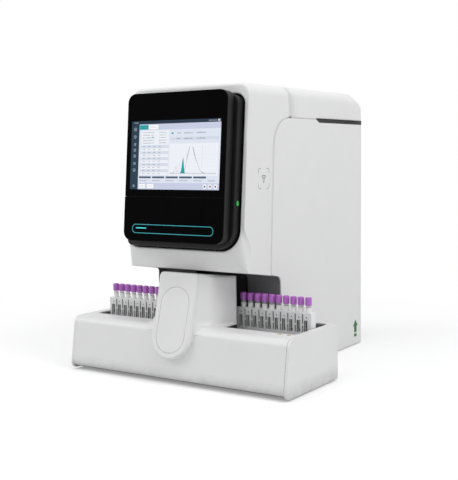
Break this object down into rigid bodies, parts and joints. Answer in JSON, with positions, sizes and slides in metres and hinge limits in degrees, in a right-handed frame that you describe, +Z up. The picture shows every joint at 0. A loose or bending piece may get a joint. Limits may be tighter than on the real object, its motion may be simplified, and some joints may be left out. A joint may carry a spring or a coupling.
{
  "type": "glycated hemoglobin analyzer",
  "caption": "Benchtop blood analyser with a wide front tray for tube racks, a bridge under an overhanging head, a leaning touch display, a hinged side door and a sampling needle.",
  "frame": {"origin": "middle of the overall footprint, on the bench under the feet", "axes": "+X to the right seen from the front, +Y to the rear, +Z up; the display faces -Y"},
  "size_m": [0.634, 0.6892, 0.7071],
  "materials": {
    "white_shell": "fine satin moulded plastic",
    "rear_paint": "powder-coated sheet",
    "dark_liner": "dark grey matt plastic",
    "black_plastic": "black satin plastic",
    "front_glass": "gloss black front",
    "teal_light": "translucent teal light guide",
    "green_button": "lit green button",
    "rack_plastic": "light grey moulded rack",
    "tube_cap": "purple cap on a clear tube",
    "feed_steel": "brushed stainless steel",
    "frame_paint": "dark painted steel",
    "pump_metal": "cast and milled aluminium",
    "bottle_plastic": "natural moulded plastic",
    "foot_rubber": "black rubber"
  },
  "bodies": {
    "frame": {"tray_shell": "white_shell", "tray_end_cap_left": "white_shell", "tray_end_cap_right": "white_shell", "tongue_cover": "white_shell", "tongue_inset": "white_shell", "front_shell": "white_shell", "top_cover": "white_shell", "left_panel": "white_shell", "rear_panel": "rear_paint", "recess_liner": "dark_liner", "rack_deck": "dark_liner", "display_frame": "black_plastic", "display_head": "black_plastic", "power_inlet": "black_plastic", "lcd_module": "black_plastic", "display_glass": "front_glass", "lower_cover": "front_glass", "light_guide": "teal_light", "base_chassis": "frame_paint", "pump_unit": "pump_metal", "column_oven": "pump_metal", "power_supply": "pump_metal", "reagent_bottle_a": "bottle_plastic", "reagent_bottle_b": "bottle_plastic", "reagent_bottle_c": "bottle_plastic", "foot_tray_left": "foot_rubber", "foot_tray_right": "foot_rubber", "foot_rear_left": "foot_rubber", "foot_rear_right": "foot_rubber"},
    "door": {"right_door": "white_shell"},
    "button": {"standby_button": "green_button"},
    "rack_right": {"right_rack": "rack_plastic", "tube_r1": "tube_cap", "tube_r2": "tube_cap", "tube_r3": "tube_cap", "tube_r4": "tube_cap", "tube_r5": "tube_cap", "tube_r6": "tube_cap", "tube_r7": "tube_cap", "tube_r8": "tube_cap", "tube_r9": "tube_cap", "tube_r10": "tube_cap"},
    "rack_left": {"left_rack": "rack_plastic", "tube_l1": "tube_cap", "tube_l2": "tube_cap", "tube_l3": "tube_cap", "tube_l4": "tube_cap", "tube_l5": "tube_cap", "tube_l6": "tube_cap", "tube_l7": "tube_cap", "tube_l8": "tube_cap", "tube_l9": "tube_cap", "tube_l10": "tube_cap"},
    "pusher_right": {"right_pusher": "feed_steel"},
    "pusher_left": {"left_pusher": "feed_steel"},
    "pawl": {"cross_feed_pawl": "feed_steel"},
    "carriage": {"probe_carriage": "feed_steel"},
    "needle": {"probe": "feed_steel"},
    "fan": {"fan_rotor": "black_plastic"},
    "switch_rocker": {"power_switch": "black_plastic"}
  },
  "joints": [
    {"name": "door_hinge", "type": "hinge", "parent": "frame", "child": "door", "pos_m": [0.1732, 0.3356, 0.3043], "axis": [0, 0, 1], "range_deg": [0, 100]},
    {"name": "button_press", "type": "slide", "parent": "frame", "child": "button", "axis": [-1, 0, 0], "range_m": [0, 0.0015], "stiffness_N_per_m": 400},
    {"name": "rack_right_feed", "type": "slide", "parent": "frame", "child": "rack_right", "axis": [0, 1, 0], "range_m": [-0.02, 0.039]},
    {"name": "rack_left_feed", "type": "slide", "parent": "frame", "child": "rack_left", "axis": [0, 1, 0], "range_m": [0, 0.073]},
    {"name": "pusher_right_slide", "type": "slide", "parent": "frame", "child": "pusher_right", "axis": [0, 1, 0], "range_m": [-0.02, 0.039]},
    {"name": "pusher_left_slide", "type": "slide", "parent": "frame", "child": "pusher_left", "axis": [0, 1, 0], "range_m": [0, 0.073]},
    {"name": "pawl_slide", "type": "slide", "parent": "frame", "child": "pawl", "axis": [1, 0, 0], "range_m": [-0.07, 0.07]},
    {"name": "carriage_slide", "type": "slide", "parent": "frame", "child": "carriage", "axis": [1, 0, 0], "range_m": [-0.06, 0.06]},
    {"name": "needle_drop", "type": "slide", "parent": "carriage", "child": "needle", "axis": [0, 0, -1], "range_m": [0, 0.11]},
    {"name": "fan_spin", "type": "hinge", "parent": "frame", "child": "fan", "pos_m": [-0.0731, 0.3251, 0.4743], "axis": [0, 1, 0], "continuous": true},
    {"name": "switch_rock", "type": "hinge", "parent": "frame", "child": "switch_rocker", "pos_m": [-0.066, 0.339, 0.0703], "axis": [1, 0, 0], "range_deg": [-7, 7]}
  ],
  "couplings": [
    {"joint": "pusher_right_slide", "follows": "rack_right_feed", "ratio": 1},
    {"joint": "pusher_left_slide", "follows": "rack_left_feed", "ratio": 1}
  ]
}
